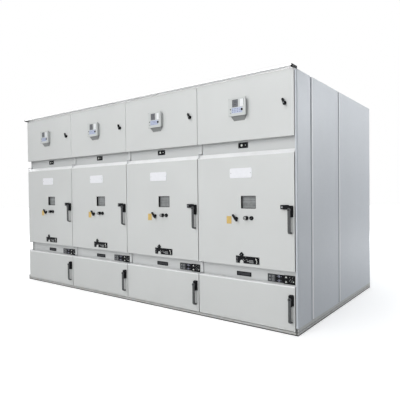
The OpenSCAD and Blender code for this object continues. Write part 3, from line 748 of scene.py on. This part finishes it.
door_meshes = [name_plate(), name_plate_screws(), door_tag(), switch_faces(), knob_dot(),
               key_cylinders(), racking_shutter(), racking_marks(), racking_arrow(),
               racking_screws()]
for n in PANELS:
    for mesh in door_meshes:
        place(mesh, f"{mesh.name}_{n}", f"cb_door_{n}", on_cb_door(n))


def lever_screw():
    """The screw that holds a lever handle on its spindle, sunk into the lever's head."""
    p = Piece()
    p.turned(0, 0, ((6.5, -1.5), (6.5, 0.6), (5.8, 1.0), (3.2, 1.0), (2.8, 0.2)), 20)
    return p.mesh("lever_screw", black_plastic)


def lock_barrel():
    """The face of the lock barrel in the bar beside a breaker door's lever."""
    out = 26
    p = Piece()
    p.turned(-69, 21, ((8.5, out - 0.5), (8.5, out + 0.5), (7.6, out + 1), (5.6, out + 0.2)), 24)
    return p.mesh("lock_barrel", lock_steel)


lever_mesh, barrel_mesh = lever_screw(), lock_barrel()
for n in PANELS:
    for kind in ("cb", "cable"):
        place(lever_mesh, f"{kind}_lever_screw_{n}", f"{kind}_handle_{n}", on_lever(kind, n))
    pivot = on_lever("cb", n)
    pivot.y = on_cb_door(n).y
    place(barrel_mesh, f"lock_barrel_{n}", f"cb_door_{n}", pivot)


def door_seal(name, a, b):
    """A rubber seal on the lips behind a door, in a frame round its back."""
    w, h = (b.x - a.x) / MM, (b.z - a.z) / MM
    p = Piece(BACK)
    p.frame(rounded(0, h / 2, w - 6, h - 6, 4), 9, 0, 3, 1.2)
    return p.mesh(name, seal_rubber)


for kind in ("cb", "cable"):
    a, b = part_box(f"{kind}_door_1")
    seal = door_seal(f"{kind}_seal", a, b)
    for n in PANELS:
        a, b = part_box(f"{kind}_door_{n}")
        place(seal, f"{kind}_seal_{n}", f"{kind}_door_{n}", Vector(((a.x + b.x) / 2, b.y, a.z)))

# ---- base, rear covers and roof ----

base_lo, base_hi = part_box("base_frame")
base_w, base_d = (base_hi.x - base_lo.x) / MM, (base_hi.y - base_lo.y) / MM


def foot_joint(side, length):
    """The dark sealing strip along the foot of the base, which also stands in as painted
    shadow where the base meets the floor.
    """
    p = Piece(side)
    p.slab(rounded(0, 4.5, length, 8.8, 0.3, 1), -2.5, 0.6, 0.4)
    return p.mesh("foot_joint", seal_rubber)


def rail_joint(side, length):
    """A dark grey strip in the joint between the two side profiles of the base: painted shade."""
    p = Piece(side)
    p.slab(rounded(0, 28.5, length, 4.8, 0.3, 1), -3, -1.2, 0.3)
    return p.mesh("rail_joint", joint_shade)


base_mid = (base_lo + base_hi) / 2
place(foot_joint(FRONT, base_w - 2), "foot_joint_front", "housing",
      Vector((base_mid.x, base_lo.y, base_lo.z)))
for name, side, x in (("right", RIGHT, base_hi.x), ("left", LEFT, base_lo.x)):
    at = Vector((x, base_mid.y, base_lo.z))
    place(foot_joint(side, base_d - 2), f"foot_joint_{name}", "housing", at)
    place(rail_joint(side, base_d - 2), f"rail_joint_{name}", "housing", at)

caps_lo, caps_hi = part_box("cornice_caps")


CAP_FOOT_MID = 0.031                # from the cornice's front to the middle of its caps' feet


def cap_foot(side):
    """The foot of a cornice cap, under the part that stands out."""
    p = Piece(side)
    p.slab(rounded(0, 5, 56, 9, 1.5), -14, -0.5, 0.6)
    return p.mesh("cap_foot", black_plastic)


for name, side, x in (("right", RIGHT, caps_hi.x), ("left", LEFT, caps_lo.x)):
    at = Vector((x, caps_lo.y + CAP_FOOT_MID, caps_lo.z))
    place(cap_foot(side), f"cap_foot_{name}", "housing", at)

cover_lo, cover_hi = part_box("rear_covers")
REAR_TOP = 2086                     # upper edge of the upper rear covers
SCREW_R = 6


def rear_screws():
    """Screws round the two covers behind a panel."""
    side_x, end_x = 470, 160
    side_in, end_in = 40, 30
    low = cover_lo.z / MM
    split = (low + REAR_TOP) / 2
    p = Piece(BACK)
    for z0, z1 in ((low, split), (split, REAR_TOP)):
        for z in (z0 + side_in, (z0 + z1) / 2, z1 - side_in):
            for x in (-side_x, side_x):
                p.screw(x, z, SCREW_R)
        for x in (-end_x, end_x):
            p.screw(x, z0 + end_in, SCREW_R)
            p.screw(x, z1 - end_in, SCREW_R)
    return p.mesh("rear_screws", pin_steel)


flap_lo, flap_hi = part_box("roof_flaps")
FLAP_GAP, FLAP_SCREW_IN = 60, 22


def flap_screws():
    """Screws round the three pressure-relief flaps over a panel."""
    p = Piece(ROOF)
    half = (flap_hi.x - flap_lo.x - 3 * PITCH_X) / 2 / MM - FLAP_SCREW_IN
    first, last = flap_lo.y / MM, flap_hi.y / MM
    middle = barrier_y / MM
    bay = (last + FLAP_GAP / 2 - middle) / 2
    for y0, y1 in ((first, middle - FLAP_GAP / 2),
                   (middle + FLAP_GAP / 2, middle + bay - FLAP_GAP / 2),
                   (middle + bay + FLAP_GAP / 2, last)):
        for x in (-half, 0, half):
            p.screw(x, y0 + FLAP_SCREW_IN, SCREW_R)
            p.screw(x, y1 - FLAP_SCREW_IN, SCREW_R)
    return p.mesh("flap_screws", pin_steel)


rear_mesh, flap_mesh = rear_screws(), flap_screws()
for n in PANELS:
    x = on_cb_door(n).x
    place(rear_mesh, f"rear_screws_{n}", "housing", Vector((x, cover_hi.y, 0)))
    place(flap_mesh, f"flap_screws_{n}", "housing", Vector((x, 0, flap_hi.z)))

# ---- stage ----

FLOOR_W = 60
FLOOR_DROP = 0.0005
FLOOR_GLOW = (2.4, 6.0, 0.45, 1.0)     # from near to far, in metres, and the glow at each


def seen_paths(tree):
    """1 for the rays that look at the backdrop, from the camera or by way of metal and glass."""
    path = tree.nodes.new("ShaderNodeLightPath")
    total = path.outputs["Is Camera Ray"]
    for kind in ("Is Glossy Ray", "Is Transmission Ray"):
        either = tree.nodes.new("ShaderNodeMath")
        either.operation = "MAXIMUM"
        tree.links.new(total, either.inputs[0])
        tree.links.new(path.outputs[kind], either.inputs[1])
        total = either.outputs[0]
    return total


def backdrop_world(colour, strength):
    """An even ambient light, with a white backdrop behind the row."""
    world = bpy.data.worlds.new("studio")
    bpy.context.scene.world = world
    world.use_nodes = True
    tree = world.node_tree
    tree.nodes.clear()
    out = tree.nodes.new("ShaderNodeOutputWorld")
    light = tree.nodes.new("ShaderNodeBackground")
    seen = tree.nodes.new("ShaderNodeBackground")
    mix = tree.nodes.new("ShaderNodeMixShader")
    light.inputs["Color"].default_value = colour
    light.inputs["Strength"].default_value = strength
    seen.inputs["Color"].default_value = (1, 1, 1, 1)
    seen.inputs["Strength"].default_value = 1.0
    tree.links.new(seen_paths(tree), mix.inputs[0])
    tree.links.new(light.outputs[0], mix.inputs[1])
    tree.links.new(seen.outputs[0], mix.inputs[2])
    tree.links.new(mix.outputs[0], out.inputs["Surface"])


def pale_floor(z, tone, bounce):
    """A plain floor: white with the row's shadow to the eye, and of a middle tone to the light."""
    bpy.ops.mesh.primitive_plane_add(size=FLOOR_W, location=(0, 0, z))
    floor = bpy.context.object
    floor.name = "studio_floor"
    mat = bpy.data.materials.new("studio_floor")
    mat.use_nodes = True
    tree = mat.node_tree
    tree.nodes.clear()
    out = tree.nodes.new("ShaderNodeOutputMaterial")
    eye = tree.nodes.new("ShaderNodeBsdfDiffuse")
    dim = tree.nodes.new("ShaderNodeBsdfDiffuse")
    shine = tree.nodes.new("ShaderNodeEmission")
    add = tree.nodes.new("ShaderNodeAddShader")
    mix = tree.nodes.new("ShaderNodeMixShader")
    eye.inputs["Color"].default_value = (tone, tone, tone, 1)
    dim.inputs["Color"].default_value = (bounce, bounce, bounce, 1)
    where = tree.nodes.new("ShaderNodeTexCoord")
    reach = tree.nodes.new("ShaderNodeVectorMath")
    reach.operation = "LENGTH"
    fade = tree.nodes.new("ShaderNodeMapRange")
    for key, value in zip(("From Min", "From Max", "To Min", "To Max"), FLOOR_GLOW):
        fade.inputs[key].default_value = value
    tree.links.new(where.outputs["Object"], reach.inputs[0])
    tree.links.new(reach.outputs["Value"], fade.inputs["Value"])
    tree.links.new(fade.outputs["Result"], shine.inputs["Strength"])
    tree.links.new(eye.outputs[0], add.inputs[0])
    tree.links.new(shine.outputs[0], add.inputs[1])
    tree.links.new(seen_paths(tree), mix.inputs[0])
    tree.links.new(dim.outputs[0], mix.inputs[1])
    tree.links.new(add.outputs[0], mix.inputs[2])
    tree.links.new(mix.outputs[0], out.inputs["Surface"])
    floor.data.materials.append(mat)


def softbox(name, place, target, size, watts, colour=(1, 1, 1)):
    """A soft rectangular lamp that looks from one point to another."""
    data = bpy.data.lights.new(name, "AREA")
    data.shape = "RECTANGLE"
    data.size, data.size_y = size
    data.energy = watts
    data.color = colour
    o = bpy.data.objects.new(name, data)
    bpy.context.scene.collection.objects.link(o)
    o.location = place
    o.rotation_mode = "QUATERNION"
    o.rotation_quaternion = (Vector(target) - Vector(place)).to_track_quat("-Z", "Y")
    o.visible_camera = False


backdrop_world((0.93, 0.96, 1.0, 1), 0.15)
pale_floor(cad_box[0].z - FLOOR_DROP, 0.8, 0.55)
COOL = (0.93, 0.965, 1.0)
softbox("key", (1.0, -7.8, 3.5), (0.2, 0, 1.1), (6, 4), 255)
softbox("top", (-0.7, -4.2, 4.6), (-0.7, -1.0, 1.0), (5, 2), 58)
softbox("low_right", (2.5, -5.5, 1.0), (0.5, -1.0, 1.0), (4, 1.2), 44)
softbox("side_rear", (6.0, 4.5, 2.5), (2.0, 0.6, 1.1), (2, 3), 118, COOL)
softbox("side_high", (4.4, 4.2, 3.4), (2.0, 0.8, 1.4), (1.5, 2), 24, COOL)
softbox("back", (0, 7.6, 3.6), (0, 1.0, 1.1), (6, 4), 220)
softbox("left", (-5.4, 0.4, 4.2), (-2.0, 0, 1.1), (2, 3), 100)
SKY_TILT, SKY_SPREAD = math.radians(40), math.radians(40)
sky = bpy.data.lights.new("sky", "SUN")
sky.energy = 0.35
sky.angle = SKY_SPREAD
sky_lamp = bpy.data.objects.new("sky", sky)
bpy.context.scene.collection.objects.link(sky_lamp)
sky_lamp.rotation_euler = (SKY_TILT, 0, 0)

# ---- camera ----

CAMERA_AT = (3.4166, -4.2085, 1.1907)
YAW, PITCH, ROLL = math.radians(-37.22), math.radians(-1.05), math.radians(-0.64)
ahead = Vector((math.sin(YAW) * math.cos(PITCH), math.cos(YAW) * math.cos(PITCH), math.sin(PITCH)))
level = Vector((math.cos(YAW), -math.sin(YAW), 0))
upward = level.cross(ahead)
right = level * math.cos(ROLL) + upward * math.sin(ROLL)
top = upward * math.cos(ROLL) - level * math.sin(ROLL)
cam_data = bpy.data.cameras.new("camera")
cam_data.sensor_width = 36
cam_data.lens = 37.035
cam = bpy.data.objects.new("camera", cam_data)
bpy.context.scene.collection.objects.link(cam)
turn = Matrix((right, top, -ahead)).transposed().to_4x4()
cam.matrix_world = Matrix.Translation(CAMERA_AT) @ turn
bpy.context.scene.camera = cam
bpy.context.scene.view_settings.view_transform = "Standard"
